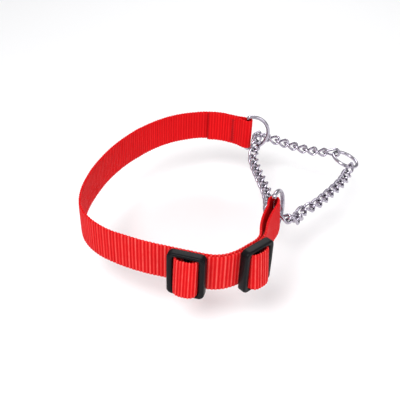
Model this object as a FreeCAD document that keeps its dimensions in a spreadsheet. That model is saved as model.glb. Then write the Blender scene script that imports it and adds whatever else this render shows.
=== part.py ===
import FreeCAD, Part
import math
import os
import Sketcher

# Martingale dog collar: ribbed webbing with two sliders and two D-rings, joined by a curb chain
# that also carries a lead ring. The loop lies in the XY plane, with the table at z = 0. The
# webbing stands on edge, so its width runs along Z. Millimetres and degrees.

os.makedirs("parts", exist_ok=True)
doc = FreeCAD.newDocument("martingale_collar")
V = FreeCAD.Vector
Placement = FreeCAD.Placement
Rotation = FreeCAD.Rotation
UP = V(0, 0, 1)

# ---------------------------------------------------------------- driving sizes
# alias, value, note
SIZES = [
    ("webwidth", 20.0, "width of the ribbed nylon webbing"),
    ("webthick", 1.4, "thickness of the webbing"),
    ("layergap", 0.4, "air between two webbing layers"),
    ("foldradius", 2.45, "centreline radius of the webbing fold round a ring bar"),
    ("sliderlength", 18.6, "slider frame along the webbing"),
    ("sliderheight", 24.6, "slider frame across the webbing"),
    ("sliderthick", 4.4, "slider frame thickness"),
    ("slidercorner", 3.0, "slider outer corner radius"),
    ("slideredge", 0.8, "rounding of the slider front edge"),
    ("windowlength", 12.4, "slider window along the webbing"),
    ("windowheight", 20.5, "slider window across the webbing"),
    ("barwidth", 2.6, "slider centre bar width"),
    ("barrecess", 0.9, "how far the centre bar sits below the slider front"),
    ("slidergap", 0.3, "air between webbing and slider back"),
    ("humprise", 7.4, "webbing hump centreline above the slider back"),
    ("humpwidth", 19.6, "webbing hump across the slider"),
    ("ringwire", 1.15, "wire radius of the D-rings"),
    ("ringarc", 11.6, "arc radius of the D-rings"),
    ("ringstub", 2.5, "straight part between D-ring bar and arc"),
    ("ringmiddle", 10.0, "height of the D-ring centre above the webbing edge"),
    ("leadwire", 1.1, "wire radius of the lead ring"),
    ("leadradius", 8.2, "centreline radius of the lead ring"),
    ("leadtilt", 16.7, "how far the lead ring leans down away from the chain"),
    ("leadroll", 1.5, "sideways lean of the lead ring"),
    ("linkwire", 0.8, "wire radius of the chain links"),
    ("linkhalf", 4.475, "half length of a link centreline"),
    ("linkloop", 2.6, "end loop radius of a link centreline"),
    ("linktwist", 45.0, "twist of each link end"),
    ("endlinkhalf", 5.225, "half length of an end link centreline"),
    ("endlinkloop", 2.85, "end loop radius of an end link centreline"),
    ("threadradius", 0.2, "sewing thread radius"),
    ("stitchlength", 17.0, "length of the stitched line"),
    ("liftz", 3.0, "height of the webbing edge above the table"),
]
sheet = doc.addObject("Spreadsheet::Sheet", "dims")
for row, (alias, value, note) in enumerate(SIZES, 1):
    sheet.set("A%d" % row, alias)
    sheet.set("B%d" % row, str(value))
    sheet.set("C%d" % row, note)
    sheet.setAlias("B%d" % row, alias)
doc.recompute()


def size(alias):
    return float(getattr(sheet, alias))


HALF_THICK = size("webthick") / 2
LAYER_PITCH = size("webthick") + size("layergap")
MID_HEIGHT = size("webwidth") / 2

# this point of the plan layout becomes the origin
PLAN_ORIGIN = (19.383, -1.039)

# ---------------------------------------------------------------- layout in plan
RING_A_BAR = V(29.3, 65.6, 0)
RING_B_BAR = V(39.9, -25.1, 0)
RING_A_TURN = 6.0       # direction from the bar to the arc of each D-ring
RING_B_TURN = 66.0
FOLD_A_HEADING = -29.0  # direction of the webbing as it reaches each bar
FOLD_B_HEADING = 70.0

# middle line of the sewn double end at ring A: x, y, extra half spread of the two layers
DOUBLE_END = [(3.2, 74.1, 0), (8.2, 73.95, 0), (13.2, 73.0, 0), (18.4, 71.05, 0.05),
              (24.0, 68.55, 0.55)]

# middle line of the band from the double end to ring B: x, y
GUIDE_START = (3.0, 75.0)
SINGLE_BAND = [
    (-2.0, 74.5), (-8.0, 72.8), (-20.0, 67.1), (-33.5, 55.2), (-44.5, 40.2), (-53.5, 22.2),
    (-59.2, 4.2), (-62.2, -13.0), (-62.5, -27.0), (-60.2, -38.5), (-54.6, -47.6),
    (-45.6, -55.4), (-35.0, -60.8), (-24.5, -64.8), (-14.0, -67.65)]
UNDER_SLIDERS = [
    (-8.0, -69.27), (-3.0, -70.6), (2.0, -71.95), (7.0, -72.75), (12.0, -72.05),
    (17.0, -69.6), (20.2, -67.05), (23.7, -63.8), (27.0, -60.7)]
TOWARDS_RING_B = [(29.3, -57.0), (30.6, -52.4), (31.5, -47.6), (32.6, -42.2), (34.3, -36.2)]
GUIDE_END = (36.3, -30.0)
FOLD_B_ENTRY = (36.3, -29.8)

# outer layer coming back from ring B to slider 2: x, y
RETURN_LAYER = [(40.9, -30.4), (38.9, -34.8), (37.1, -39.4), (35.4, -44.6), (34.0, -49.8),
                (32.8, -53.8)]
# guide points where the outer layer starts and stops lying on the inner one
OVERLAP_START = (29.6, -56.9)
OVERLAP_END = (-12.0, -68.2)

# label, x and y on the inner layer, direction of the webbing
SLIDERS = [("slider_1", -3.77, -70.39, -15.0), ("slider_2", 24.36, -63.19, 43.0)]

# ---------------------------------------------------------------- helpers
NODES = []


def node(obj, label):
    """Registers obj as a piece to be written out."""
    obj.Label = label
    NODES.append(obj)


def at(x, y, z=0.0):
    """Document position of a layout point, z measured from the lower webbing edge."""
    return V(x - PLAN_ORIGIN[0], y - PLAN_ORIGIN[1], z + size("liftz"))


def heading(degrees):
    return V(math.cos(math.radians(degrees)), math.sin(math.radians(degrees)), 0)


def right_of(direction):
    return V(direction.y, -direction.x, 0)


def primitive(kind, name, position=V(), rotation=Rotation(), **formulas):
    """A Part primitive with its properties bound to the given formulas."""
    obj = doc.addObject("Part::" + kind, name)
    for prop, formula in formulas.items():
        obj.setExpression(prop, formula)
    obj.Placement = Placement(position, rotation)
    return obj


def fuse(name, parts):
    obj = doc.addObject("Part::MultiFuse", name)
    obj.Shapes = parts
    return obj


class Curve:
    """Smooth plan curve through (x, y) pairs or vectors."""

    def __init__(self, points):
        self.spline = Part.BSplineCurve()
        self.spline.interpolate([V(p[0], p[1], 0) for p in points])

    def side(self, parameter):
        """Unit vector to the right of the walking direction."""
        return right_of(self.spline.tangent(parameter)[0])

    def nearest(self, x, y):
        """Curve point nearest to x, y and the side vector there."""
        parameter = self.spline.parameter(V(x, y, 0))
        return self.spline.value(parameter), self.side(parameter)

    def beside(self, x, y, distance):
        """Point at a distance to the right of the curve point nearest to x, y."""
        point, side = self.nearest(x, y)
        return point + side * distance


def ribbon_face(curve, count):
    """Face one webbing thickness wide along a curve, sampled in count steps."""
    first = curve.spline.FirstParameter
    last = curve.spline.LastParameter
    left, right = [], []
    for k in range(count + 1):
        parameter = first + (last - first) * k / count
        point, side = curve.spline.value(parameter), curve.side(parameter)
        left.append(point - side * HALF_THICK)
        right.append(point + side * HALF_THICK)
    right.reverse()
    left_edge = Part.BSplineCurve()
    left_edge.interpolate(left)
    right_edge = Part.BSplineCurve()
    right_edge.interpolate(right)
    return Part.Face(Part.Wire([
        left_edge.toShape(), Part.makeLine(left[-1], right[0]),
        right_edge.toShape(), Part.makeLine(right[-1], left[0])]))


def extrude_webbing(label, profile, width_alias):
    webbing = doc.addObject("Part::Extrusion", label)
    webbing.Base = profile
    webbing.DirMode = "Custom"
    webbing.Dir = UP
    webbing.setExpression("LengthFwd", "dims." + width_alias)
    webbing.Solid = True
    node(webbing, label)
    return webbing


# ---------------------------------------------------------------- webbing
def fold_round(bar, direction, outward):
    """Half circle of centreline points round a ring bar, from the inner to the outer side."""
    radius = size("foldradius")
    points = []
    for k in range(9):
        angle = math.radians(180.0 - 22.5 * k)
        points.append(bar + outward * (radius * math.cos(angle))
                      + direction * (radius * math.sin(angle)))
    return points


def make_band(double_end):
    guide = Curve([GUIDE_START] + SINGLE_BAND + UNDER_SLIDERS + TOWARDS_RING_B + [GUIDE_END])
    # sewn tail on the inside of the loop, from its free end to the bar of ring A
    path = [double_end.beside(x, y, LAYER_PITCH / 2 + extra) for x, y, extra in DOUBLE_END]
    direction = heading(FOLD_A_HEADING)
    path += fold_round(RING_A_BAR, direction, right_of(direction) * -1)
    # outer layer of the double end
    path += [double_end.beside(x, y, -(LAYER_PITCH / 2 + extra))
             for x, y, extra in reversed(DOUBLE_END)]
    # single band, then the inner layer beneath the sliders
    path += SINGLE_BAND + UNDER_SLIDERS + TOWARDS_RING_B + [FOLD_B_ENTRY]
    direction = heading(FOLD_B_HEADING)
    path += fold_round(RING_B_BAR, direction, right_of(direction))
    # outer layer back past both sliders
    path += RETURN_LAYER
    overlap = [OVERLAP_START] + UNDER_SLIDERS[::-1] + [OVERLAP_END]
    path += [guide.beside(x, y, LAYER_PITCH) for x, y in overlap]

    profile = doc.addObject("Part::Feature", "band_profile")
    profile.Shape = ribbon_face(Curve(path), 420)
    profile.Placement = Placement(at(0, 0), Rotation())
    extrude_webbing("band_webbing", profile, "webwidth")


# ---------------------------------------------------------------- stitched line near ring A
STITCH_PLACE = (20.6, 70.2)
PIN_COUNT = 8
PIN_OVERHANG = 0.3    # pins stand out of the webbing on each side
RUN_OVERHANG = 0.4    # surface runs pass the end pins
RUN_OFFSET = 0.02     # centre of a surface run above the webbing face


def make_stitching(double_end):
    """Pins through both layers, tied by a thread run up each face."""
    centre, inward = double_end.nearest(*STITCH_PLACE)
    half_across = (LAYER_PITCH + size("webthick")) / 2
    length = size("stitchlength")
    start = centre + inward * (half_across + PIN_OVERHANG)
    parts = []
    for k in range(PIN_COUNT):
        z = MID_HEIGHT + (k - (PIN_COUNT - 1) / 2) * length / (PIN_COUNT - 1)
        parts.append(primitive(
            "Cylinder", "stitch_pin_%d" % k, at(start.x, start.y, z), Rotation(UP, inward * -1),
            Radius="dims.threadradius",
            Height="dims.webthick * 2 + dims.layergap + %g" % (2 * PIN_OVERHANG)))
    for side, tag in ((1, "in"), (-1, "out")):
        face = centre + inward * (side * (half_across + RUN_OFFSET))
        parts.append(primitive(
            "Cylinder", "stitch_run_" + tag,
            at(face.x, face.y, MID_HEIGHT - length / 2 - RUN_OVERHANG),
            Radius="dims.threadradius * 1.4",
            Height="dims.stitchlength + %g" % (2 * RUN_OVERHANG)))
    node(fuse("bar_tack_stitching", parts), "bar_tack_stitching")


# ---------------------------------------------------------------- sliders (tri-glides)
# Slider frame: x along the webbing, y across it, z outward from the slider back.
RECESS_MARGIN = 0.4   # the recess cut reaches past each long side of the centre bar


def new_sketch(body, name):
    sketch = body.newObject("Sketcher::SketchObject", name)
    plane = next(f for f in body.Origin.OriginFeatures if f.Role == "XY_Plane")
    sketch.AttachmentSupport = [(plane, "")]
    sketch.MapMode = "FlatFace"
    return sketch


def add_rectangle(sketch, tag, edges, side_margin=0.0):
    """edges: (sign, alias) for left, low, right and high, each half that size from the
    sketch origin. side_margin moves left and right further out."""
    margins = (side_margin, 0.0, side_margin, 0.0)
    left, low, right, high = [sign * (size(alias) / 2 + margin)
                              for (sign, alias), margin in zip(edges, margins)]
    corners = [V(left, low, 0), V(right, low, 0), V(right, high, 0), V(left, high, 0)]
    base = sketch.GeometryCount
    for k in range(4):
        sketch.addGeometry(Part.LineSegment(corners[k], corners[(k + 1) % 4]), False)
    for k in range(4):
        sketch.addConstraint(
            Sketcher.Constraint("Coincident", base + k, 2, base + (k + 1) % 4, 1))
    for kind, line in (("Horizontal", 0), ("Horizontal", 2), ("Vertical", 1), ("Vertical", 3)):
        sketch.addConstraint(Sketcher.Constraint(kind, base + line))
    # lines 0 and 2 start at the left low and the right high corner
    names = []
    for kind, line, value, edge in (("DistanceX", 0, left, "left"), ("DistanceY", 0, low, "low"),
                                    ("DistanceX", 2, right, "right"),
                                    ("DistanceY", 2, high, "high")):
        if value < 0:
            distance = Sketcher.Constraint(kind, base + line, 1, -1, 1, -value)
        else:
            distance = Sketcher.Constraint(kind, -1, 1, base + line, 1, value)
        sketch.renameConstraint(sketch.addConstraint(distance), tag + edge)
        names.append(tag + edge)
    for name, (_, alias), margin in zip(names, edges, margins):
        sketch.setExpression("Constraints." + name, "dims.%s / 2 + %g" % (alias, margin))


def centred(length_alias, height_alias):
    return [(-1, length_alias), (-1, height_alias), (1, length_alias), (1, height_alias)]


def add_fillet(body, name, base, edges, radius_alias):
    fillet = body.newObject("PartDesign::Fillet", name)
    fillet.Base = (base, edges)
    fillet.setExpression("Radius", "dims." + radius_alias)
    return fillet


def make_slider(label, position, rotation):
    half_length = size("sliderlength") / 2
    half_height = size("sliderheight") / 2
    thick = size("sliderthick")
    body = doc.addObject("PartDesign::Body", label)

    outline = new_sketch(body, label + "_outline")
    add_rectangle(outline, "o", centred("sliderlength", "sliderheight"))
    plate = body.newObject("PartDesign::Pad", label + "_plate")
    plate.Profile = outline
    plate.setExpression("Length", "dims.sliderthick")
    doc.recompute()

    # two windows, one on each side of the centre bar
    windows = new_sketch(body, label + "_windows")
    low, high = (-1, "windowheight"), (1, "windowheight")
    add_rectangle(windows, "a", [(-1, "windowlength"), low, (-1, "barwidth"), high])
    add_rectangle(windows, "b", [(1, "barwidth"), low, (1, "windowlength"), high])
    cut = body.newObject("PartDesign::Pocket", label + "_window_cut")
    cut.Profile = windows
    cut.Type = 1  # through all
    cut.Midplane = True
    doc.recompute()
    # guards against a pocket that runs away from the plate and removes nothing
    if abs(cut.Shape.Volume - plate.Shape.Volume) < 1.0:
        cut.Reversed = True
        doc.recompute()

    bar_area = new_sketch(body, label + "_bar_area")
    bar_area.setExpression("AttachmentOffset.Base.z", "dims.sliderthick")
    add_rectangle(bar_area, "c", centred("barwidth", "windowheight"), RECESS_MARGIN)
    recess = body.newObject("PartDesign::Pocket", label + "_bar_recess")
    recess.Profile = bar_area
    recess.setExpression("Length", "dims.barrecess")
    doc.recompute()

    # upright edges at the four outer corners
    corners = []
    for i, edge in enumerate(recess.Shape.Edges, 1):
        box = edge.BoundBox
        if (box.ZLength > 3.0 and abs(abs(box.Center.x) - half_length) < 0.01
                and abs(abs(box.Center.y) - half_height) < 0.01):
            corners.append("Edge%d" % i)
    rounded = add_fillet(body, label + "_corner_round", recess, corners, "slidercorner")
    doc.recompute()

    # outer edges of the front face
    rim = []
    for i, edge in enumerate(rounded.Shape.Edges, 1):
        box = edge.BoundBox
        on_front = box.ZLength < 0.01 and abs(box.ZMax - thick) < 0.01
        outer = (max(abs(box.XMin), abs(box.XMax)) > half_length - 0.01
                 or max(abs(box.YMin), abs(box.YMax)) > half_height - 0.01)
        if on_front and outer:
            rim.append("Edge%d" % i)
    body.Tip = add_fillet(body, label + "_rim_round", rounded, rim, "slideredge")
    doc.recompute()
    body.Placement = Placement(position, rotation)
    node(body, label)


# hump centreline: x along the webbing, y outward from the slider back
HUMP_LINE = [(-5.3, 0.15), (-5.35, 1.8), (-5.25, 3.7), (-4.7, 5.4), (-3.1, 6.8),
             (0.0, size("humprise")),
             (3.1, 6.8), (4.7, 5.4), (5.25, 3.7), (5.35, 1.8), (5.3, 0.15)]


def make_hump(label, position, rotation):
    """Webbing that rises through one window, over the bar and down the other window."""
    profile = doc.addObject("Part::Feature", label + "_profile")
    profile.Shape = ribbon_face(Curve(HUMP_LINE), 40)
    hump = extrude_webbing(label, profile, "humpwidth")
    hump.Placement = Placement(position, rotation)


def make_slider_set(label, x, y, degrees):
    along = heading(degrees)
    outward = right_of(along)
    back = V(x, y, 0) + outward * (LAYER_PITCH + HALF_THICK + size("slidergap"))
    make_slider(label, at(back.x, back.y, MID_HEIGHT), Rotation(along, UP, outward, "ZXY"))
    hump_low = (size("webwidth") - size("humpwidth")) / 2
    make_hump(label + "_webbing_hump", at(back.x, back.y, hump_low),
              Rotation(along * -1, outward, UP, "ZXY"))


# ---------------------------------------------------------------- rings
def make_dring(label, bar, degrees):
    """Upright D-ring: the bar stands on local z, the arc bulges towards local x."""
    shaft = primitive("Cylinder", label + "_bar",
                      Radius="dims.ringwire", Height="2 * dims.ringarc")
    shaft.setExpression("Placement.Base.z", "-dims.ringarc")
    parts = [shaft]
    for sign, tag in (("", "top"), ("-", "low")):
        corner = primitive("Sphere", label + "_" + tag + "_corner", Radius="dims.ringwire")
        stub = primitive("Cylinder", label + "_" + tag + "_stub",
                         rotation=Rotation(UP, V(1, 0, 0)),
                         Radius="dims.ringwire", Height="dims.ringstub")
        for part in (corner, stub):
            part.setExpression("Placement.Base.z", sign + "dims.ringarc")
            parts.append(part)
    arc = primitive("Torus", label + "_arc",
                    rotation=Rotation(V(0, 0, -1), V(1, 0, 0), V(0, -1, 0), "ZXY"),
                    Radius1="dims.ringarc", Radius2="dims.ringwire")
    arc.Angle3 = 180.0
    arc.setExpression("Placement.Base.x", "dims.ringstub")
    parts.append(arc)
    ring = fuse(label, parts)
    ring.Refine = True
    ring.Placement = Placement(at(bar.x, bar.y, size("ringmiddle")), Rotation(UP, degrees))
    node(ring, label)


LEAD_CENTRE = (93.18, 51.4, 0.97)


def make_lead_ring():
    tilt = Rotation(V(0, 1, 0), size("leadtilt"))
    roll = Rotation(V(1, 0, 0), size("leadroll"))
    lead = primitive("Torus", "lead_ring", at(*LEAD_CENTRE), tilt.multiply(roll),
                     Radius1="dims.leadradius", Radius2="dims.leadwire")
    node(lead, "lead_ring")


# ---------------------------------------------------------------- curb chain
# From the lead ring to ring A (chain_a), to ring B (chain_n) and back to the lead ring (chain_b).
# label, centre x y z, direction of the long axis x y z, roll about the long axis
LINKS = [
    ("chain_a_link_01", 85.047, 57.535, 2.344, -0.8982, 0.3688, -0.2392, -5.8),
    ("chain_a_link_02", 78.169, 60.450, 0.824, -0.9049, 0.3980, -0.1506, 1.0),
    ("chain_a_link_03", 71.928, 63.252, 0.079, -0.9072, 0.4156, -0.0657, -1.5),
    ("chain_a_link_04", 65.768, 66.295, -0.182, -0.8832, 0.4688, -0.0102, -0.6),
    ("chain_a_link_05", 59.797, 69.689, -0.136, -0.8545, 0.5190, 0.0236, 1.3),
    ("chain_a_link_06", 54.024, 73.001, 0.138, -0.8788, 0.4735, 0.0598, -4.8),
    ("chain_a_link_07", 48.150, 75.528, 0.767, -0.9413, 0.3092, 0.1352, -12.0),
    ("chain_a_link_08", 42.179, 75.837, 2.366, -0.9083, -0.2129, 0.3600, -7.8),
    ("chain_a_link_09", 37.568, 72.579, 4.528, -0.5196, -0.7964, 0.3096, -23.9),
    ("chain_ring_a_link", 35.922, 66.799, 5.071, 0.0095, -0.9900, -0.1406, -47.2),
    ("chain_n_link_01", 35.154, 60.817, 3.190, -0.2484, -0.8614, -0.4430, -31.1),
    ("chain_n_link_02", 33.838, 54.746, 1.060, -0.1515, -0.9667, -0.2064, 0.1),
    ("chain_n_link_03", 33.478, 48.047, 0.102, 0.0461, -0.9962, -0.0742, 0.7),
    ("chain_n_link_04", 34.136, 41.273, -0.207, 0.1466, -0.9891, -0.0164, -1.5),
    ("chain_n_link_05", 35.202, 34.533, -0.264, 0.1660, -0.9861, -0.0003, -0.1),
    ("chain_n_link_06", 36.397, 27.814, -0.262, 0.1841, -0.9829, 0.0009, 0.1),
    ("chain_n_link_07", 37.691, 21.114, -0.256, 0.1953, -0.9808, 0.0008, 0.1),
    ("chain_n_link_08", 38.903, 14.399, -0.254, 0.1597, -0.9872, -0.0003, 0.0),
    ("chain_n_link_09", 39.696, 7.627, -0.252, 0.0728, -0.9973, 0.0010, 0.0),
    ("chain_n_link_10", 39.846, 0.816, -0.073, -0.0290, -0.9983, 0.0515, 2.8),
    ("chain_n_link_11", 39.362, -5.736, 0.642, -0.1199, -0.9785, 0.1677, -7.9),
    ("chain_n_link_12", 38.875, -11.890, 2.344, -0.0314, -0.9322, 0.3605, -17.2),
    ("chain_n_link_13", 40.785, -17.365, 4.155, 0.6196, -0.7593, 0.1992, -18.6),
    ("chain_ring_b_link", 45.944, -20.287, 4.311, 0.9780, -0.1421, -0.1527, -17.6),
    ("chain_b_link_01", 51.532, -19.029, 2.577, 0.7553, 0.5307, -0.3845, -4.7),
    ("chain_b_link_02", 54.797, -14.319, 0.522, 0.2566, 0.9328, -0.2530, 0.0),
    ("chain_b_link_03", 57.411, -8.669, -0.192, 0.5590, 0.8286, 0.0307, 5.1),
    ("chain_b_link_04", 61.940, -3.989, -0.169, 0.8036, 0.5947, -0.0219, 0.5),
    ("chain_b_link_05", 67.093, 0.448, -0.253, 0.7078, 0.7064, -0.0028, -0.2),
    ("chain_b_link_06", 71.627, 5.542, -0.261, 0.6196, 0.7849, 0.0003, 0.0),
    ("chain_b_link_07", 75.811, 10.960, -0.260, 0.6029, 0.7978, 0.0000, 0.0),
    ("chain_b_link_08", 79.956, 16.425, -0.261, 0.6057, 0.7957, -0.0001, 0.0),
    ("chain_b_link_09", 84.024, 21.963, -0.251, 0.5782, 0.8159, 0.0027, 0.1),
    ("chain_b_link_10", 87.725, 27.760, -0.191, 0.4968, 0.8677, 0.0148, 2.0),
    ("chain_b_link_11", 90.804, 33.919, -0.038, 0.3957, 0.9179, 0.0296, 7.5),
    ("chain_b_link_12", 93.548, 41.039, 0.279, 0.3290, 0.9429, 0.0514, 25.9),
]


def add_link(label, family, head_turn, tail_turn):
    """Two half loops, turned about the long axis (local x), joined by two straight sides.
    family is the alias prefix of the link sizes."""
    loop = size(family + "loop")
    reach = size(family + "half") - loop
    bows = ((-1, head_turn, "head"), (1, tail_turn, "tail"))
    parts = []
    for end, turn, tag in bows:
        rotation = Rotation(V(1, 0, 0), turn).multiply(Rotation(UP, -90.0 * end))
        bow = primitive("Torus", label + "_" + tag, rotation=rotation,
                        Radius1="dims.%sloop" % family, Radius2="dims.linkwire")
        bow.Angle3 = 180.0
        bow.setExpression("Placement.Base.x",
                          "%d * (dims.%shalf - dims.%sloop)" % (end, family, family))
        parts.append(bow)
    for sign, tag in ((1, "left"), (-1, "right")):
        knees = []
        for end, turn, _ in bows:
            angle = math.radians(turn)
            knees.append(V(end * reach, sign * loop * math.cos(angle),
                           sign * loop * math.sin(angle)))
        span = knees[1] - knees[0]
        side = primitive("Cylinder", label + "_" + tag, knees[0], Rotation(UP, span),
                         Radius="dims.linkwire")
        side.Height = span.Length
        parts.append(side)
        for k, knee in enumerate(knees):
            parts.append(primitive("Sphere", label + "_%s_knee_%d" % (tag, k), knee,
                                   Radius="dims.linkwire"))
    link = fuse(label, parts)
    link.Refine = True
    return link


def make_chain():
    twist = size("linktwist")
    for k, (label, x, y, z, along_x, along_y, along_z, roll) in enumerate(LINKS):
        # the larger end links turn their outer loop upright to take the lead ring
        if k == 0:
            link = add_link(label, "endlink", 90.0, twist)
        elif k == len(LINKS) - 1:
            link = add_link(label, "endlink", -twist, -90.0)
        else:
            link = add_link(label, "link", -twist, twist)
        along = V(along_x, along_y, along_z)
        along.normalize()
        across = UP.cross(along)
        across.normalize()
        rotation = Rotation(along, across, along.cross(across), "XZY")
        link.Placement = Placement(at(x, y, z), rotation.multiply(Rotation(V(1, 0, 0), roll)))
        node(link, label)


# ---------------------------------------------------------------- build, check and write
double_end_line = Curve([(x, y) for x, y, _ in DOUBLE_END] + [RING_A_BAR])
make_band(double_end_line)
make_stitching(double_end_line)
for slider in SLIDERS:
    make_slider_set(*slider)
make_dring("ring_a", RING_A_BAR, RING_A_TURN)
make_dring("ring_b", RING_B_BAR, RING_B_TURN)
make_lead_ring()
make_chain()

doc.recompute()
for obj in doc.Objects:
    if "Invalid" in obj.State or "Error" in obj.State:
        raise RuntimeError("%s is %s" % (obj.Name, obj.State))
for obj in NODES:
    if obj.Shape.isNull() or not obj.Shape.isValid():
        raise RuntimeError("%s has a bad shape" % obj.Name)
    if len(obj.Shape.Solids) != 1:
        raise RuntimeError("%s has %d solids" % (obj.Name, len(obj.Shape.Solids)))
for obj in NODES:
    obj.Shape.exportStep("parts/" + obj.Label + ".step")
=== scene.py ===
"""A red webbing band standing on edge, with two black sliders, two D rings and a steel chain.

The band is an open loop seen from above (+Z up): one end is doubled round the bar of ring A
(+X +Y), the other round the bar of ring B (+X -Y), and its long run bows out to -X. The chain
goes from the lead ring (far +X) past ring A and ring B and back to the lead ring.
Lengths are in millimetres and become metres in mesh_object. Plan points are measured from
their own origin; PLAN_ORIGIN is where the scene origin lies among them.
"""
import math
import random

import bmesh
import bpy
import numpy as np
from mathutils import Matrix, Vector


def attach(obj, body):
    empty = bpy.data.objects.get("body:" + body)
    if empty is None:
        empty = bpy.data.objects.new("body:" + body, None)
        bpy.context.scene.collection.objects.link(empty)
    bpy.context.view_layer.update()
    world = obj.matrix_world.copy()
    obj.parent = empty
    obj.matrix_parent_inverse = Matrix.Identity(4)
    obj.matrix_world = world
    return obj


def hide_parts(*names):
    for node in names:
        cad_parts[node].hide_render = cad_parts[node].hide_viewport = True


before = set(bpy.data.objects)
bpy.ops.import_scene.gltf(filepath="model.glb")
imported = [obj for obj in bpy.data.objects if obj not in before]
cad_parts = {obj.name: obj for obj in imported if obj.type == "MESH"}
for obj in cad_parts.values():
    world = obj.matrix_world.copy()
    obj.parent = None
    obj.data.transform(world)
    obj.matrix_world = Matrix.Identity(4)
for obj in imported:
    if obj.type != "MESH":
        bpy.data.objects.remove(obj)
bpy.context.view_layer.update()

MM = 0.001
PLAN_ORIGIN = np.array([19.383, -1.039])
LIFT = 3.0                      # lower webbing edge above z = 0
WIDTH = 20.0                    # webbing width, upright
MID_Z = LIFT + WIDTH / 2
HALF_THICK = 0.7                # half webbing thickness
LAYER_STEP = 1.8                # spacing of two webbing layers
FOLD_RADIUS = 2.45              # fold radius round a ring bar
RIB_PITCH = 1.85
YARNS = 27                      # warp yarns across the width


# ------------------------------------------------------------------ curves and noise
def ease(start, end, x):
    t = np.clip((np.asarray(x, float) - start) / (end - start), 0.0, 1.0)
    return t * t * (3 - 2 * t)


def bell(x, centre, width):
    return np.exp(-((x - centre) / width) ** 2)


def normalized(vectors):
    return vectors / np.linalg.norm(vectors, axis=-1, keepdims=True)


def direction(degrees):
    return np.array([math.cos(math.radians(degrees)), math.sin(math.radians(degrees))])


class Spline:
    """Natural cubic spline through plan points, walked by chord length."""

    def __init__(self, points):
        self.points = np.array(points, float)
        chords = np.linalg.norm(np.diff(self.points, axis=0), axis=1)
        self.knots = np.r_[0.0, np.cumsum(chords)]
        self.spans = h = np.diff(self.knots)
        count = len(self.points)
        slopes = np.diff(self.points, axis=0) / h[:, None]
        system = np.zeros((count, count))
        target = np.zeros(self.points.shape)
        system[0, 0] = system[-1, -1] = 1.0
        for i in range(1, count - 1):
            system[i, i - 1:i + 2] = h[i - 1], 2 * (h[i - 1] + h[i]), h[i]
            target[i] = 6 * (slopes[i] - slopes[i - 1])
        self.bends = np.linalg.solve(system, target)

    def at(self, where):
        where = np.atleast_1d(np.asarray(where, float))
        i = np.searchsorted(self.knots, where, side="right") - 1
        i = np.clip(i, 0, len(self.spans) - 1)
        h = self.spans[i][:, None]
        left = (self.knots[i + 1] - where)[:, None]
        done = (where - self.knots[i])[:, None]
        return (self.bends[i] * left ** 3 + self.bends[i + 1] * done ** 3) / (6 * h) \
            + (self.points[i] / h - self.bends[i] * h / 6) * left \
            + (self.points[i + 1] / h - self.bends[i + 1] * h / 6) * done

    def side(self, where):
        """Unit vector to the right of travel, seen from above."""
        nudge = 1e-3
        ahead = normalized(self.at(where + nudge) - self.at(where - nudge))
        return np.c_[ahead[:, 1], -ahead[:, 0]]

    def walk(self, count):
        return np.linspace(self.knots[0], self.knots[-1], count)

    def near(self, x, y):
        where = self.walk(6000)
        return where[np.linalg.norm(self.at(where) - [x, y], axis=1).argmin()]

    def offset(self, where, distance):
        return self.at(where)[0] + self.side(where)[0] * distance

    def offset_near(self, x, y, distance):
        return self.offset(self.near(x, y), distance)


def even_points(points, step):
    """The same polyline with points every step along it, and their distances."""
    walked = np.r_[0.0, np.cumsum(np.linalg.norm(np.diff(points, axis=0), axis=1))]
    count = max(4, int(round(walked[-1] / step)))
    wanted = np.linspace(0, walked[-1], count + 1)
    return np.column_stack([np.interp(wanted, walked, axis) for axis in points.T]), wanted


def wave(seed, x, scale):
    """Smooth value noise in -1..1 along one axis."""
    grid = np.random.RandomState(seed).uniform(-1, 1, 4096)
    x = np.asarray(x, float) / scale + 1000.0
    i = np.floor(x).astype(int)
    f = x - i
    f = f * f * (3 - 2 * f)
    return grid[i % 4096] * (1 - f) + grid[(i + 1) % 4096] * f


# ------------------------------------------------------------------ meshes
def quads(rows, sides, start=0, closed=False):
    """Faces between rows of `sides` vertices; closed joins the last row to the first."""
    faces = []
    for row in range(rows if closed else rows - 1):
        here = start + row * sides
        there = start + (row + 1) % rows * sides
        for j in range(sides):
            after = (j + 1) % sides
            faces.append((here + j, here + after, there + after, there + j))
    return faces


def caps(rows, sides, start=0):
    last = start + (rows - 1) * sides
    return [tuple(range(start, start + sides)), tuple(reversed(range(last, last + sides)))]


def round_rows(points, axis_1, axis_2, radii, sides):
    """A circle of vertices round each point."""
    turn = 2 * math.pi * np.arange(sides) / sides
    spokes = axis_1[:, None] * np.cos(turn)[:, None] + axis_2[:, None] * np.sin(turn)[:, None]
    return (points[:, None] + radii[:, None, None] * spokes).reshape(-1, 3)


def mesh_object(name, verts, faces, material, smooth=True):
    mesh = bpy.data.meshes.new(name)
    mesh.from_pydata((np.asarray(verts) * MM).tolist(), [], faces)
    mesh.update()
    if smooth:
        mesh.polygons.foreach_set("use_smooth", [True] * len(mesh.polygons))
    ob = bpy.data.objects.new(name, mesh)
    bpy.context.scene.collection.objects.link(ob)
    mesh.materials.append(material)
    return ob


def face_outward(ob):
    bm = bmesh.new()
    bm.from_mesh(ob.data)
    bmesh.ops.recalc_face_normals(bm, faces=bm.faces)
    bm.to_mesh(ob.data)
    bm.free()


def register(ob, body, node):
    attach(ob, body)
    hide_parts(node)


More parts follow.
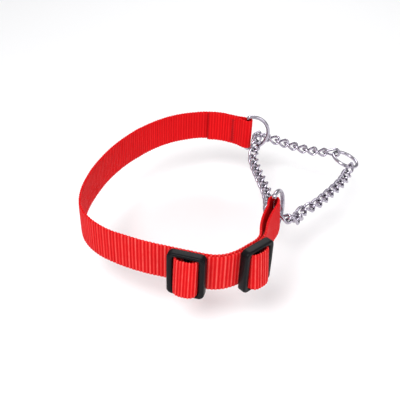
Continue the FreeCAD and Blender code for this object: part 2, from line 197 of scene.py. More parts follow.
def closed_wire(name, points, radius, material, sides, swell):
    """A round wire along a closed loop; swell is the radius change at each point."""
    count = len(points)
    ahead = normalized(np.roll(points, -1, 0) - np.roll(points, 1, 0))
    up = [0.0, 0.0, 1.0] if abs(ahead[0][2]) < 0.8 else [1.0, 0.0, 0.0]
    axes = [normalized(np.cross(up, ahead[0]))]
    for k in range(1, count):
        axes.append(normalized(axes[-1] - ahead[k] * (axes[-1] @ ahead[k])))
    axes = np.array(axes)
    # spread the twist left at the join evenly round the loop
    carried = normalized(axes[-1] - ahead[0] * (axes[-1] @ ahead[0]))
    twist = math.atan2(np.cross(axes[0], carried) @ ahead[0], axes[0] @ carried)
    turn = (-twist * np.arange(count) / count)[:, None]
    axes = axes * np.cos(turn) + np.cross(ahead, axes) * np.sin(turn)
    verts = round_rows(points, axes, np.cross(ahead, axes), radius + swell, sides)
    return mesh_object(name, verts, quads(count, sides, closed=True), material)


# ------------------------------------------------------------------ materials
class Shader:
    """Builds the node tree of a material or world; values may be numbers or sockets."""

    def __init__(self, owner):
        owner.use_nodes = True
        self.tree = owner.node_tree
        self.tree.nodes.clear()

    def node(self, kind, inputs=None, **props):
        node = self.tree.nodes.new(kind)
        for key, value in props.items():
            setattr(node, key, value)
        self.feed(node, inputs or {})
        return node

    def feed(self, node, inputs):
        for key, value in inputs.items():
            if isinstance(value, bpy.types.NodeSocket):
                self.tree.links.new(value, node.inputs[key])
            else:
                node.inputs[key].default_value = value

    def math(self, operation, *values, clamp=False):
        inputs = dict(enumerate(values))
        node = self.node("ShaderNodeMath", inputs, operation=operation, use_clamp=clamp)
        return node.outputs[0]

    def add(self, a, b):
        return self.math("ADD", a, b)

    def sub(self, a, b, clamp=False):
        return self.math("SUBTRACT", a, b, clamp=clamp)

    def mul(self, a, by, clamp=False):
        return self.math("MULTIPLY", a, by, clamp=clamp)

    def weighted(self, base, *terms):
        """base plus each (value, weight) term."""
        for value, weight in terms:
            base = self.add(base, self.mul(value, by=weight))
        return base

    def mix(self, factor, a, b):
        node = self.node("ShaderNodeMix", data_type="RGBA", blend_type="MIX")
        self.feed(node, {0: factor, 6: a, 7: b})
        return node.outputs[2]

    def noise(self, coords, scale, detail=2.0, rough=0.5):
        inputs = {"Scale": scale, "Detail": detail, "Roughness": rough, "Vector": coords}
        return self.node("ShaderNodeTexNoise", inputs).outputs[0]

    def bump(self, height, strength, distance):
        inputs = {"Strength": strength, "Distance": distance, "Height": height}
        return self.node("ShaderNodeBump", inputs).outputs[0]

    def attribute(self, name):
        return self.node("ShaderNodeAttribute", attribute_name=name).outputs["Fac"]

    def coords(self, kind="Object"):
        return self.node("ShaderNodeTexCoord").outputs[kind]

    def axes(self, vector):
        return self.node("ShaderNodeSeparateXYZ", {0: vector}).outputs


def new_material(name):
    material = bpy.data.materials.new(name)
    g = Shader(material)
    output = g.node("ShaderNodeOutputMaterial")
    surface = g.node("ShaderNodeBsdfPrincipled")
    g.feed(output, {0: surface.outputs[0]})
    return material, g, surface


def tinted(colour, *gains):
    return tuple(c * gain for c, gain in zip(colour, gains)) + (1,)


def webbing_material(name, base, deep, light):
    material, g, surface = new_material(name)
    weave = g.axes(g.node("ShaderNodeUVMap", uv_map="weave").outputs[0])
    coords = g.coords()
    rib, cut = g.attribute("rib"), g.attribute("cut")

    # warp yarns lie along the band and step over the weft in a brick pattern
    wobble = g.mul(g.sub(g.noise(coords, scale=900.0), 0.5), by=0.5)
    across = g.add(g.mul(weave[1], by=YARNS), wobble)
    yarn = g.math("SINE", g.mul(g.math("FRACT", across), by=math.pi))
    odd = g.math("MODULO", g.math("FLOOR", across), 2.0)
    brick = g.add(weave[0], g.mul(odd, by=0.5))
    over = g.math("COSINE", g.mul(brick, by=2 * math.pi))
    over = g.add(g.mul(over, by=0.5), 0.5)
    fuzz = g.noise(coords, scale=5200.0, detail=3.0, rough=0.7)
    height = g.weighted(g.mul(yarn, by=0.55), (over, 0.3), (fuzz, 0.35))

    # slow dye variation, then painted shade: deep in the grooves between ribs
    dye = g.add(g.noise(coords, scale=38.0, detail=3.0), -0.25)
    tone = g.mix(g.mul(dye, by=0.55, clamp=True), base, deep)
    tone = g.mix(g.mul(g.sub(1.0, rib), by=0.85, clamp=True), tone, deep)

    # painted highlight on the rib crests: full strength in patches towards -Y, a tenth as much
    # elsewhere
    highlight_sharpness, highlight_strength = 10.0, 0.60
    highlight_patch_edge_y, highlight_patch_fade = -0.040, 40.0     # metres, and per metre
    rib_highlight = g.mul(g.math("POWER", rib, highlight_sharpness), by=highlight_strength)
    rib_highlight = g.mul(rib_highlight, by=g.weighted(0.3, (g.noise(coords, scale=260.0), 1.4)))
    y = g.axes(coords)[1]
    highlight_patch = g.mul(g.sub(highlight_patch_edge_y, y), by=highlight_patch_fade, clamp=True)
    highlight_patch = g.mul(highlight_patch, by=g.weighted(0.55, (g.noise(coords, scale=30.0), 0.9)))
    rib_highlight = g.mul(rib_highlight, by=g.weighted(0.10, (highlight_patch, 0.90)), clamp=True)
    tone = g.mix(rib_highlight, tone, light)

    # painted shade in the seams between yarns, and darker, smoother melted ends
    tone = g.mix(g.mul(g.sub(1.0, yarn), by=0.22, clamp=True), tone, deep)
    tone = g.mix(g.mul(cut, by=0.75), tone, tinted(deep, 0.35, 0.4, 0.4))
    g.feed(surface, {
        "Base Color": tone,
        "Roughness": g.sub(g.weighted(0.46, (fuzz, 0.22)), g.mul(cut, by=0.25)),
        "Normal": g.bump(height, strength=0.62, distance=0.00016),
        "Specular IOR Level": 0.07,
        "Sheen Weight": 0.02,
        "Sheen Roughness": 0.4,
        "Sheen Tint": (1.0, 0.55, 0.5, 1),
    })
    return material


def thread_material(name, base):
    material, g, surface = new_material(name)
    coords = g.coords()
    strands = g.node("ShaderNodeTexWave", bands_direction="DIAGONAL",
                     inputs={"Scale": 2600.0, "Distortion": 1.0, "Vector": coords})
    g.feed(surface, {
        "Base Color": g.mix(g.noise(coords, scale=700.0), base, tinted(base, 0.6, 0.6, 0.6)),
        "Roughness": 0.5,
        "Normal": g.bump(strands.outputs[0], strength=0.6, distance=0.00008),
        "Specular IOR Level": 0.15,
        "Sheen Weight": 0.04,
    })
    return material


def plastic_material(name, dark, light):
    material, g, surface = new_material(name)
    coords = g.coords()
    fine = g.noise(coords, scale=2600.0, detail=3.0, rough=0.6)
    slow = g.noise(coords, scale=150.0)
    g.feed(surface, {
        "Base Color": g.mix(slow, dark, light),
        "Roughness": g.weighted(0.27, (slow, 0.16), (fine, 0.08)),
        "Normal": g.bump(fine, strength=0.22, distance=0.00006),
        "Specular IOR Level": 0.13,
    })
    return material


def metal_material(name, light, dark, rough):
    material, g, surface = new_material(name)
    coords = g.coords()
    slow = g.noise(coords, scale=220.0, detail=3.0, rough=0.6)
    fine = g.noise(coords, scale=3800.0, rough=0.6)
    # painted shade: crevices darken towards dark, found by ambient occlusion
    occlusion = g.node("ShaderNodeAmbientOcclusion", {"Distance": 0.0014}, samples=6)
    shade_contrast = 1.8
    openness = g.math("POWER", occlusion.outputs["AO"], shade_contrast)
    tone = g.mix(slow, light, tinted(light, 0.82, 0.81, 0.84))
    tone = g.mix(g.sub(1.0, openness, clamp=True), tone, dark)
    g.feed(surface, {
        "Base Color": tone,
        "Metallic": 1.0,
        "Roughness": g.weighted(rough, (slow, 0.12)),
        "Normal": g.bump(g.weighted(fine, (slow, 1.5)), strength=0.12, distance=0.00004),
    })
    return material


# light is the pink of the painted highlight on the webbing's rib crests
RED = webbing_material("red_webbing", base=(0.86, 0.0042, 0.0080, 1),
                       # deep is both the darker dye and the painted shade in grooves and yarn
                       # seams
                       deep=(0.40, 0.0008, 0.0026, 1), light=(1.0, 0.20, 0.17, 1))
THREAD = thread_material("red_thread", base=(0.42, 0.004, 0.010, 1))
BLACK = plastic_material("black_plastic", dark=(0.0022, 0.0020, 0.0028, 1),
                         light=(0.0050, 0.0046, 0.0062, 1))
# dark is the painted shade colour in the crevices of chain and rings
STEEL = metal_material("chain_steel", light=(0.50, 0.465, 0.54, 1),
                       dark=(0.03, 0.025, 0.04, 1), rough=0.17)
CHROME = metal_material("ring_steel", light=(0.56, 0.53, 0.60, 1),
                        dark=(0.04, 0.035, 0.05, 1), rough=0.12)


def cad_material(name):
    if "webbing" in name:
        return RED
    if "stitch" in name:
        return THREAD
    if name.startswith("slider"):
        return BLACK
    return STEEL if name.startswith("chain") else CHROME


for name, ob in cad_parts.items():
    ob.data.materials.clear()
    ob.data.materials.append(cad_material(name))


# ------------------------------------------------------------------ webbing
def webbing_section():
    """(across, through) in -1..1 round the ribbon: two flat faces and two rounded edges."""
    flat, edge = 0.965, 0.035
    half = [((-1 + 2.0 * j / 16) * flat, 1.0) for j in range(17)]
    for degrees in (35, 65, 90, 115, 145):
        angle = math.radians(degrees)
        half.append((flat + edge * math.sin(angle), math.cos(angle)))
    return np.vstack([half, -np.array(half)])


def webbing(name, path, place, seed, width=WIDTH, pitch=RIB_PITCH, rib_start=0.0):
    """A woven ribbon along a path: ribs across it, rounded edges, slight unevenness.
    place(xy, z) turns path-plane points and heights across the width into 3D points."""
    step, rib_depth, edge_depth = 0.30, 0.30, 0.42
    points, dist = even_points(path, step)
    ahead = normalized(np.gradient(points, axis=0))
    normal = np.c_[ahead[:, 1], -ahead[:, 0]]

    phase = (dist + rib_start) / pitch
    even_rib = np.floor(phase + 0.5).astype(int) % 2 == 0
    rib = np.abs(np.cos(math.pi * phase)) ** 0.55 * np.where(even_rib, 1.0, 0.92)
    melt = 1 - ease(0.0, 0.9, np.minimum(dist, dist[-1] - dist))
    thick = HALF_THICK - rib_depth + rib_depth * rib * (1 - 0.7 * melt)
    thick = (thick + 0.03 * wave(seed, dist, 5.0)) * (1 - 0.35 * melt)
    half = width / 2 - edge_depth + edge_depth * rib - 0.25 * melt
    half += 0.10 * wave(seed + 1, dist, 9.0) + 0.05 * wave(seed + 2, dist, 2.2)
    tilt = 0.10 * wave(seed + 5, dist, 21.0)

    section = webbing_section()
    columns = []
    for j, (across, through) in enumerate(section):
        yarn_relief = 1 + 0.03 * np.sin(across * YARNS * math.pi)
        edge_thinning = 1 - 0.28 * abs(across) ** 10
        shift = through * thick * edge_thinning * yarn_relief
        shift += tilt * across + 0.018 * wave(seed + 9 + j, dist, 7.0)
        columns.append(place(points + normal * shift[:, None], across * half))
    verts = np.stack(columns, axis=1).reshape(-1, 3)

    rows, sides = len(points), len(section)
    faces = [(a, d, c, b) for a, b, c, d in quads(rows, sides)] + caps(rows, sides)
    ob = mesh_object(name, verts, faces, RED)
    mesh = ob.data

    # weave map: u counts ribs, v runs across the width, shifted on the second face
    across, through = section.T
    v = (across + 1) / 2 + np.where(through >= 0, 0.0, 1.37)
    uv = np.c_[np.repeat(phase, sides), np.tile(v, rows)].astype(np.float32)
    corners = np.zeros(len(mesh.loops), int)
    mesh.loops.foreach_get("vertex_index", corners)
    mesh.uv_layers.new(name="weave").data.foreach_set("uv", uv[corners].reshape(-1))
    for key, values in (("rib", rib), ("cut", melt)):
        layer = mesh.attributes.new(key, "FLOAT", "POINT")
        layer.data.foreach_set("value", np.repeat(values, sides).astype(np.float32))
    face_outward(ob)
    return ob


# ------------------------------------------------------------------ band
# bars of the two rings in plan, the way the fold passes round each, and its leaving side
BAR_A, ROUND_A = np.array([29.3, 65.6]), direction(-29.0)
LEAVE_A = np.array([-ROUND_A[1], ROUND_A[0]])
BAR_B, ROUND_B = np.array([39.9, -25.1]), direction(70.0)
LEAVE_B = np.array([ROUND_B[1], -ROUND_B[0]])

# doubled end at ring A: x, y, half the gap between layers
END_A = [(3.2, 74.1, 0.9), (8.2, 73.95, 0.9), (13.2, 73.0, 0.9), (18.4, 71.05, 0.95),
         (24.0, 68.55, 1.45)]
# plan x, y of the long run, the stretch shared with the outer layer, and the run to ring B
LONG_RUN = [(-2.0, 74.5), (-8.0, 72.8), (-20.0, 67.1), (-33.5, 55.2), (-44.5, 40.2),
            (-53.5, 22.2), (-59.2, 4.2), (-62.2, -13.0), (-62.5, -27.0), (-60.2, -38.5),
            (-54.6, -47.6), (-45.6, -55.4), (-35.0, -60.8), (-24.5, -64.8), (-14.0, -67.65)]
SHARED = [(-8.0, -69.27), (-3.0, -70.6), (2.0, -71.95), (7.0, -72.75), (12.0, -72.05),
          (17.0, -69.6), (20.2, -67.05), (23.7, -63.8), (27.0, -60.7)]
TO_RING_B = [(29.3, -57.0), (30.6, -52.4), (31.5, -47.6), (32.6, -42.2), (34.3, -36.2)]
# plan x, y of the outer layer coming back from ring B
FROM_RING_B = [(40.9, -30.4), (38.9, -34.8), (37.1, -39.4), (35.4, -44.6), (34.0, -49.8),
               (32.8, -53.8)]
MAIN = LONG_RUN + SHARED + TO_RING_B
OUTER_LAYER = [(29.6, -56.9)] + SHARED[::-1] + [(-12.0, -68.2)]

middle_a = Spline([(x, y) for x, y, gap in END_A] + [tuple(BAR_A)])
main = Spline([(3.0, 75.0)] + MAIN + [(36.3, -30.0)])


def wrap(bar, way_round, leave):
    """Half a turn round a ring bar."""
    angles = [math.radians(180.0 - 22.5 * k) for k in range(9)]
    return [bar + leave * FOLD_RADIUS * math.cos(a) + way_round * FOLD_RADIUS * math.sin(a)
            for a in angles]


def band_points():
    points = [middle_a.offset_near(x, y, gap) for x, y, gap in END_A]
    points += wrap(BAR_A, ROUND_A, LEAVE_A)
    points += [middle_a.offset_near(x, y, -gap) for x, y, gap in reversed(END_A)]
    points += MAIN + [(36.3, -29.8)]
    points += wrap(BAR_B, ROUND_B, LEAVE_B)
    points += FROM_RING_B
    points += [main.offset_near(x, y, LAYER_STEP) for x, y in OUTER_LAYER]
    return points


def ring_b_lean(x, y, z):
    """The doubled end at ring B leans: its top edge a little to -X, its bottom edge to +X."""
    slope = -0.10
    near = ease(-57.0, -46.0, y) * (1 - ease(-9.0, -2.0, y)) * ease(24.0, 28.0, x)
    return slope * (z - MID_Z) * near


def place_band(xy, z):
    x, y = (xy - PLAN_ORIGIN).T
    height = MID_Z + z
    return np.c_[x + ring_b_lean(xy[:, 0], xy[:, 1], height), y, height]


band_curve = Spline(band_points())
band_path = band_curve.at(band_curve.walk(5200))
register(webbing("webbing_band", band_path, place_band, seed=3),
         "band", "band_webbing")

# ------------------------------------------------------------------ sliders
SLIDER_LENGTH, SLIDER_HEIGHT, SLIDER_CORNER = 18.6, 24.6, 2.7
WINDOW_LENGTH, WINDOW_HEIGHT, WINDOW_CORNER = 12.4, 20.5, 1.1
SLIDER_GAP = 0.3                # back of the slider to the outer webbing layer
SLIDER_DROP = 0.45              # slider middle below the webbing middle
CROWN = 0.12                    # extra height of the front at mid height
BAR_WIDTH, BAR_HALF_THICK, BAR_SIDES, BAR_ROWS = 2.6, 1.75, 20, 25
# frame section: share of the way from window edge to outer edge, height off the band
FRAME_SECTION = [
    (0.00, 0.70), (0.03, 0.28), (0.12, 0.06), (0.30, 0.0), (0.70, 0.0), (0.88, 0.06),
    (0.97, 0.30), (1.0, 0.8), (1.0, 1.8), (1.0, 2.9), (0.99, 3.5), (0.95, 3.95),
    (0.87, 4.22), (0.74, 4.36), (0.58, 4.40), (0.40, 4.38), (0.22, 4.27), (0.09, 4.02),
    (0.02, 3.6), (0.0, 2.9), (0.0, 1.8)]
# webbing over the centre bar: along the slider, height off the band; mirrored past the top
HUMP_SIDE = [(-5.38, 0.15), (-5.42, 1.8), (-5.34, 3.5), (-4.85, 5.0), (-3.2, 6.05)]
HUMP = HUMP_SIDE + [(0.0, 6.4)] + [(-x, height) for x, height in reversed(HUMP_SIDE)]
HUMP_WIDTH, HUMP_PITCH = 20.2, 1.45
HUMP_TAPER = 0.15               # share of height lost at the top edge, gained at the bottom


def rounded_rectangle(length, height, radius):
    """Outline from the middle of the box, 11 points a corner and 11 along each side."""
    arcs = []
    for quarter, signs in enumerate(((1, 1), (-1, 1), (-1, -1), (1, -1))):
        centre = np.array([length / 2 - radius, height / 2 - radius]) * signs
        arcs.append([centre + radius * direction(90 * quarter + 90.0 * j / 10)
                     for j in range(11)])
    outline = []
    for arc, following in zip(arcs, arcs[1:] + arcs[:1]):
        outline += arc
        outline += [arc[-1] * (1 - j / 12) + following[0] * j / 12 for j in range(1, 12)]
    return outline


def slider_frame(at):
    outer = rounded_rectangle(SLIDER_LENGTH, SLIDER_HEIGHT, SLIDER_CORNER)
    inner = rounded_rectangle(WINDOW_LENGTH, WINDOW_HEIGHT, WINDOW_CORNER)
    verts = []
    for window_edge, outer_edge in zip(inner, outer):
        for share, height in FRAME_SECTION:
            x, z = window_edge * (1 - share) + outer_edge * share
            crown = CROWN * (1 - abs(z) / (SLIDER_HEIGHT / 2)) if height > 3.7 else 0.0
            verts.append(at(x, height + crown, z))
    return verts, quads(len(outer), len(FRAME_SECTION), closed=True)


def slider_bar(at, start):
    """Rounded upright bar across the window, below the front and flared at both ends."""
    section = []
    for j in range(BAR_SIDES):
        c, s = direction(360 * j / BAR_SIDES)
        section.append((BAR_WIDTH / 2 * math.copysign(abs(c) ** 0.55, c),
                        BAR_HALF_THICK * (1 + math.copysign(abs(s) ** 0.6, s))))
    half_window, sunk = WINDOW_HEIGHT / 2, 0.6      # the ends sink into the frame
    verts = []
    for z in np.linspace(-half_window - sunk, half_window + sunk, BAR_ROWS):
        flare = 1 + 0.22 * ease(half_window - 1.6, half_window + 0.2, abs(z))
        verts += [at(x * flare, height, z) for x, height in section]
    return verts, quads(BAR_ROWS, BAR_SIDES, start) + caps(BAR_ROWS, BAR_SIDES, start)


def slider(number, centre, degrees, seed):
    along = direction(degrees)
    outward = np.array([along[1], -along[0]])
    base = np.array(centre) + outward * (LAYER_STEP + HALF_THICK + SLIDER_GAP) - PLAN_ORIGIN
    origin = np.array([*base, MID_Z - SLIDER_DROP])

    def at(x, height, z):
        return (origin + np.multiply.outer(x, [*along, 0.0])
                + np.multiply.outer(height, [*outward, 0.0])
                + np.multiply.outer(z, [0.0, 0.0, 1.0]))

    def place_hump(xy, z):
        return at(xy[:, 0], xy[:, 1] * (1 - HUMP_TAPER * z / (HUMP_WIDTH / 2)), z)

    name, body = f"slider_frame_{number}", f"slider_{number}"
    verts, faces = slider_frame(at)
    bar_verts, bar_faces = slider_bar(at, start=len(verts))
    ob = mesh_object(name, verts + bar_verts, faces + bar_faces, BLACK)
    face_outward(ob)
    register(ob, body, body)

    # the same webbing, rising out of one window and back into the other
    curve = Spline(HUMP)
    hump = webbing(name + "_webbing", curve.at(curve.walk(500)), place_hump, seed,
                   width=HUMP_WIDTH, pitch=HUMP_PITCH, rib_start=seed * 0.37)
    register(hump, body, body + "_webbing_hump")


slider(1, centre=(-3.77, -70.39), degrees=-15.0, seed=21)
slider(2, centre=(24.36, -63.19), degrees=43.0, seed=31)

# ------------------------------------------------------------------ stitching of ring A's end
TACK = middle_a.near(20.6, 70.2)        # where the stitching crosses the doubled end
ROW_OFFSET, ROW_STITCHES, ROW_MARGIN = 0.9, 12, 1.6
STITCH_FILL = 0.86                      # share of its pitch a row stitch covers
ZIGZAG_REACH, ZIGZAG_STITCHES, ZIGZAG_MARGIN = 0.62, 26, 1.7
STRAND_SIDES = 8


def stitch_path(start, end, z_low, z_high, face, count, sink, arch):
    """Points of one stitch: sunk below the webbing face at its ends, arched between."""
    points = []
    for k in range(count):
        f = k / (count - 1)
        out = LAYER_STEP / 2 + HALF_THICK - sink + arch * math.sin(math.pi * f)
        where = TACK + start + (end - start) * f
        xy = middle_a.offset(where, face * out) - PLAN_ORIGIN
        points.append((*xy, z_low + (z_high - z_low) * f))
    return np.array(points)


def strand_verts(points, radius):
    ahead = normalized(np.gradient(points, axis=0))
    axis = normalized(np.cross(ahead, [0.3, 0.5, 0.8]))
    radii = np.full(len(points), radius)
    radii[[0, -1]] *= 0.55
    return round_rows(points, axis, np.cross(ahead, axis), radii, STRAND_SIDES)


def stitch_z(i, count, margin):
    return LIFT + margin + (WIDTH - 2 * margin) * i / count


def bar_tack():
    """Two upright rows of stitches with a zigzag between them, on both faces."""
    draws = random.Random(11)
    strands = []
    for offset in (-ROW_OFFSET, ROW_OFFSET):
        for face in (1, -1):
            for i in range(ROW_STITCHES):
                slant = draws.uniform(-0.10, 0.10)
                path = stitch_path(offset - slant, offset + slant,
                                   stitch_z(i, ROW_STITCHES, ROW_MARGIN),
                                   stitch_z(i + STITCH_FILL, ROW_STITCHES, ROW_MARGIN),
                                   face, count=7, sink=0.20, arch=0.30)
                strands.append(strand_verts(path, radius=0.24))
    for face in (1, -1):
        for i in range(ZIGZAG_STITCHES):
            reach = ZIGZAG_REACH if i % 2 == 0 else -ZIGZAG_REACH
            path = stitch_path(-reach, reach,
                               stitch_z(i, ZIGZAG_STITCHES, ZIGZAG_MARGIN),
                               stitch_z(i + 1, ZIGZAG_STITCHES, ZIGZAG_MARGIN),
                               face, count=6, sink=0.14, arch=0.20)
            strands.append(strand_verts(path, radius=0.17))
    faces, start = [], 0
    for strand in strands:
        rows = len(strand) // STRAND_SIDES
        faces += quads(rows, STRAND_SIDES, start) + caps(rows, STRAND_SIDES, start)
        start += len(strand)
    ob = mesh_object("bar_tack_thread", np.vstack(strands), faces, THREAD)
    register(ob, "band", "bar_tack_stitching")


bar_tack()

# ------------------------------------------------------------------ rings
D_RADIUS, D_STRAIGHT, D_CORNER, D_WIRE = 11.6, 2.5, 1.5, 1.15
LEAD_CENTRE, LEAD_RADIUS, LEAD_WIRE = (93.18, 51.4, 0.97), 8.2, 1.1
LEAD_TILT_X, LEAD_TILT_Y = math.radians(1.5), math.radians(16.7)
LEAD_WELD = 1.2                 # angle of the weld round the lead ring, radians
RING_SIDES = 22


def arc(x, z, radius, degrees):
    return [(x + radius * math.cos(a), z + radius * math.sin(a)) for a in np.radians(degrees)]


def d_ring(name, bar, degrees, body):
    """An upright D: its straight bar at x = 0, its bow reaching out along degrees."""
    corner_z = D_RADIUS - D_CORNER
    between = (D_CORNER + D_STRAIGHT) / 2
    loop = [(0.0, z) for z in np.linspace(-corner_z, corner_z, 40)]
    loop += arc(D_CORNER, corner_z, D_CORNER, np.linspace(180, 90, 8)[1:])
    loop.append((between, D_RADIUS))
    loop += arc(D_STRAIGHT, 0.0, D_RADIUS, np.linspace(90, -90, 90))
    loop.append((between, -D_RADIUS))
    loop += arc(D_CORNER, -corner_z, D_CORNER, np.linspace(270, 180, 8)[:-1])
    reach, z = np.array(loop).T
    x, y = (bar + reach[:, None] * direction(degrees)).T
    z = z + MID_Z
    lean = ring_b_lean(x, y, z)
    points = np.c_[x - PLAN_ORIGIN[0] + lean, y - PLAN_ORIGIN[1], z]
    weld = 0.12 * bell(np.arange(len(points)), centre=20, width=1.6)
    register(closed_wire(name, points, D_WIRE, CHROME, RING_SIDES, weld), body, body)


def lead_ring():
    turn = np.linspace(0, 2 * math.pi, 150, endpoint=False)
    x, y = LEAD_RADIUS * np.cos(turn), LEAD_RADIUS * np.sin(turn)
    y, z = y * math.cos(LEAD_TILT_X), y * math.sin(LEAD_TILT_X)
    points = np.c_[x * math.cos(LEAD_TILT_Y) + z * math.sin(LEAD_TILT_Y), y,
                   -x * math.sin(LEAD_TILT_Y) + z * math.cos(LEAD_TILT_Y)]
    points += np.array(LEAD_CENTRE) + [*-PLAN_ORIGIN, LIFT]
    weld = 0.10 * bell(turn, LEAD_WELD, width=0.05) - 0.05 * bell(turn, LEAD_WELD, width=0.015)
    ob = closed_wire("lead_ring_wire", points, LEAD_WIRE, CHROME, RING_SIDES, weld)
    register(ob, "lead_ring", "lead_ring")


d_ring("d_ring_a", BAR_A, 6.0, "ring_a")
d_ring("d_ring_b", BAR_B, 66.0, "ring_b")
lead_ring()

# ------------------------------------------------------------------ chain
LINK_WIRE, LINK_POINTS = 0.82, 88
LINK_SIZE = (4.475, 2.6)        # half length and loop radius along the wire's middle
END_LINK_SIZE = (5.225, 2.85)   # the two links on the lead ring
# centre x, y (plan) and z (above LIFT), direction x, y, z, roll in degrees
LINKS = [
    (85.047, 57.535, 2.344, -0.8982, 0.3688, -0.2392, -5.8),
    (78.169, 60.450, 0.824, -0.9049, 0.3980, -0.1506, 1.0),
    (71.928, 63.252, 0.079, -0.9072, 0.4156, -0.0657, -1.5),
    (65.768, 66.295, -0.182, -0.8832, 0.4688, -0.0102, -0.6),
    (59.797, 69.689, -0.136, -0.8545, 0.5190, 0.0236, 1.3),
    (54.024, 73.001, 0.138, -0.8788, 0.4735, 0.0598, -4.8),
    (48.150, 75.528, 0.767, -0.9413, 0.3092, 0.1352, -12.0),
    (42.179, 75.837, 2.366, -0.9083, -0.2129, 0.3600, -7.8),
    (37.568, 72.579, 4.528, -0.5196, -0.7964, 0.3096, -23.9),
    (35.922, 66.799, 5.071, 0.0095, -0.9900, -0.1406, -47.2),
    (35.154, 60.817, 3.190, -0.2484, -0.8614, -0.4430, -31.1),
    (33.838, 54.746, 1.060, -0.1515, -0.9667, -0.2064, 0.1),
    (33.478, 48.047, 0.102, 0.0461, -0.9962, -0.0742, 0.7),
    (34.136, 41.273, -0.207, 0.1466, -0.9891, -0.0164, -1.5),
    (35.202, 34.533, -0.264, 0.1660, -0.9861, -0.0003, -0.1),
    (36.397, 27.814, -0.262, 0.1841, -0.9829, 0.0009, 0.1),
    (37.691, 21.114, -0.256, 0.1953, -0.9808, 0.0008, 0.1),
    (38.903, 14.399, -0.254, 0.1597, -0.9872, -0.0003, -0.0),
    (39.696, 7.627, -0.252, 0.0728, -0.9973, 0.0010, -0.0),
    (39.846, 0.816, -0.073, -0.0290, -0.9983, 0.0515, 2.8),
    (39.362, -5.736, 0.642, -0.1199, -0.9785, 0.1677, -7.9),
    (38.875, -11.890, 2.344, -0.0314, -0.9322, 0.3605, -17.2),
    (40.785, -17.365, 4.155, 0.6196, -0.7593, 0.1992, -18.6),
    (45.944, -20.287, 4.311, 0.9780, -0.1421, -0.1527, -17.6),
    (51.532, -19.029, 2.577, 0.7553, 0.5307, -0.3845, -4.7),
    (54.797, -14.319, 0.522, 0.2566, 0.9328, -0.2530, 0.0),
    (57.411, -8.669, -0.192, 0.5590, 0.8286, 0.0307, 5.1),
    (61.940, -3.989, -0.169, 0.8036, 0.5947, -0.0219, 0.5),
    (67.093, 0.448, -0.253, 0.7078, 0.7064, -0.0028, -0.2),
    (71.627, 5.542, -0.261, 0.6196, 0.7849, 0.0003, 0.0),
    (75.811, 10.960, -0.260, 0.6029, 0.7978, -0.0000, 0.0),
    (79.956, 16.425, -0.261, 0.6057, 0.7957, -0.0001, -0.0),
    (84.024, 21.963, -0.251, 0.5782, 0.8159, 0.0027, 0.1),
    (87.725, 27.760, -0.191, 0.4968, 0.8677, 0.0148, 2.0),
    (90.804, 33.919, -0.038, 0.3957, 0.9179, 0.0296, 7.5),
    (93.548, 41.039, 0.279, 0.3290, 0.9429, 0.0514, 25.9),
]
LINK_NAMES = ([f"chain_a_link_{i:02d}" for i in range(1, 10)] + ["chain_ring_a_link"]
              + [f"chain_n_link_{i:02d}" for i in range(1, 14)] + ["chain_ring_b_link"]
              + [f"chain_b_link_{i:02d}" for i in range(1, 13)])


def link_loop(half, radius, start_turn, end_turn):
    """A long loop along x, twisted from start_turn degrees at -x to end_turn at +x."""
    straight = half - radius
    bend = math.pi * radius
    total = 4 * straight + 2 * bend
    points = []
    for k in range(LINK_POINTS):
        walked = total * k / LINK_POINTS
        if walked < 2 * straight:
            x, y = -straight + walked, radius
        elif walked < 2 * straight + bend:
            a = (walked - 2 * straight) / radius
            x, y = straight + radius * math.sin(a), radius * math.cos(a)
        elif walked < 4 * straight + bend:
            x, y = straight - (walked - 2 * straight - bend), -radius
        else:
            a = (walked - 4 * straight - bend) / radius
            x, y = -straight - radius * math.sin(a), -radius * math.cos(a)
        share = max(-1.0, min(1.0, x / (half - 1.8)))
        turn = math.radians((start_turn + end_turn + (end_turn - start_turn) * share) / 2)
        points.append((x, y * math.cos(turn), y * math.sin(turn)))
    weld_at = LINK_POINTS * straight / total        # middle of the first straight side
    return np.array(points), weld_at


def chain_link(name, row, size, turns):
    loop, weld_at = link_loop(*size, *turns)
    centre = np.array(row[:3]) + [*-PLAN_ORIGIN, LIFT]
    along = normalized(np.array(row[3:6]))
    across = normalized(np.cross([0, 0, 1.0], along))
    roll = math.radians(row[6])
    c, s = math.cos(roll), math.sin(roll)
    above = np.cross(along, across)
    axes = np.array([along, across * c + above * s, -across * s + above * c])
    index = np.arange(LINK_POINTS)
    weld = 0.07 * bell(index, weld_at, width=1.5) - 0.05 * bell(index, weld_at, width=0.5)
    ob = closed_wire("wire_" + name, centre + loop @ axes, LINK_WIRE, STEEL, 14, weld)
    register(ob, name, name)


for k, (name, row) in enumerate(zip(LINK_NAMES, LINKS)):
    if k == 0:
        chain_link(name, row, END_LINK_SIZE, (90.0, 45.0))
    elif k == len(LINKS) - 1:
        chain_link(name, row, END_LINK_SIZE, (-45.0, -90.0))
    else:
        chain_link(name, row, LINK_SIZE, (-45.0, 45.0))

# ------------------------------------------------------------------ table, light and camera
TABLE_HALF = 3000.0
TABLE_Z = -27.0                 # clear of the chain at its lowest swing
AIM = Vector((0, 0, 0.01))      # what the lights point at, metres


def build_table():
    material, g, surface = new_material("table_white")
    g.feed(surface, {"Base Color": (0.93, 0.93, 0.935, 1), "Roughness": 0.6,
                     "Specular IOR Level": 0.25})
    corners = [(x * TABLE_HALF, y * TABLE_HALF, TABLE_Z)
               for x, y in ((-1, -1), (1, -1), (1, 1), (-1, 1))]
    mesh_object("table", corners, [(0, 1, 2, 3)], material, smooth=False)


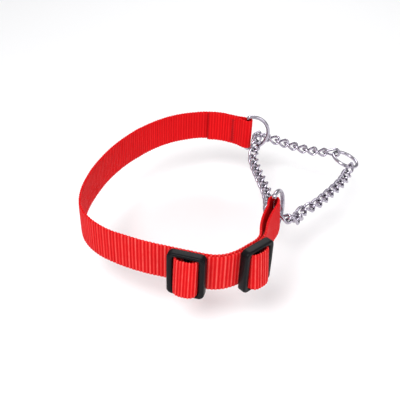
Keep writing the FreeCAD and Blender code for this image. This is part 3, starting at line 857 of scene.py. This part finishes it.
def disk_light(name, location, size, power):
    data = bpy.data.lights.new(name, "AREA")
    data.shape = "DISK"
    data.size = size
    data.energy = power
    ob = bpy.data.objects.new(name, data)
    bpy.context.scene.collection.objects.link(ob)
    ob.location = location
    ob.rotation_euler = (AIM - Vector(location)).to_track_quat("-Z", "Y").to_euler()


def build_world():
    world = bpy.data.worlds.new("studio")
    bpy.context.scene.world = world
    g = Shader(world)
    output = g.node("ShaderNodeOutputWorld")
    coords = g.coords("Generated")
    rays = g.node("ShaderNodeLightPath").outputs
    # what polished metal sees: a pale ceiling, darker walls with a few bright panels
    ceiling = g.mul(g.add(g.axes(coords)[2], 0.05), by=1.6, clamp=True)
    panels = g.sub(g.noise(coords, scale=2.3, detail=1.0), 0.42)
    panels = g.mul(panels, by=6.0, clamp=True)
    tone = g.add(g.weighted(g.mul(ceiling, by=0.55), (panels, 0.55)), 0.04)
    grey = g.node("ShaderNodeCombineColor", {0: tone, 1: tone, 2: tone}).outputs[0]
    diffuse_white, backdrop_white = (0.92, 0.92, 0.93, 1), (1.75, 1.75, 1.77, 1)
    colour = g.mix(rays["Is Glossy Ray"], diffuse_white, grey)
    colour = g.mix(rays["Is Camera Ray"], colour, backdrop_white)
    background = g.node("ShaderNodeBackground", {"Color": colour, "Strength": 0.56})
    g.feed(output, {0: background.outputs[0]})


def build_camera():
    scene = bpy.context.scene
    scene.view_settings.view_transform = "Standard"
    scene.view_settings.look = "None"
    data = bpy.data.cameras.new("camera")
    data.sensor_width = 36.0
    data.lens = 53.19
    data.clip_start = 0.01
    camera = bpy.data.objects.new("camera", data)
    scene.collection.objects.link(camera)
    right = Vector((0.99926, 0.02174, 0.03164)).normalized()
    forward = Vector((0.0, 0.8241, -0.5664)).normalized()
    rotation = Matrix((right, right.cross(forward), -forward)).transposed().to_4x4()
    x, y = np.array([0.0, -281.85]) - PLAN_ORIGIN
    position = Vector((x, y, 193.71 + LIFT)) * MM
    camera.matrix_world = Matrix.Translation(position) @ rotation
    scene.camera = camera


build_table()
disk_light("key", location=(-0.28, -0.55, 0.75), size=0.45, power=6.0)
disk_light("fill", location=(0.65, -0.35, 0.45), size=0.6, power=2.0)
disk_light("back", location=(0.05, 0.75, 0.65), size=0.6, power=2.6)
build_world()
build_camera()
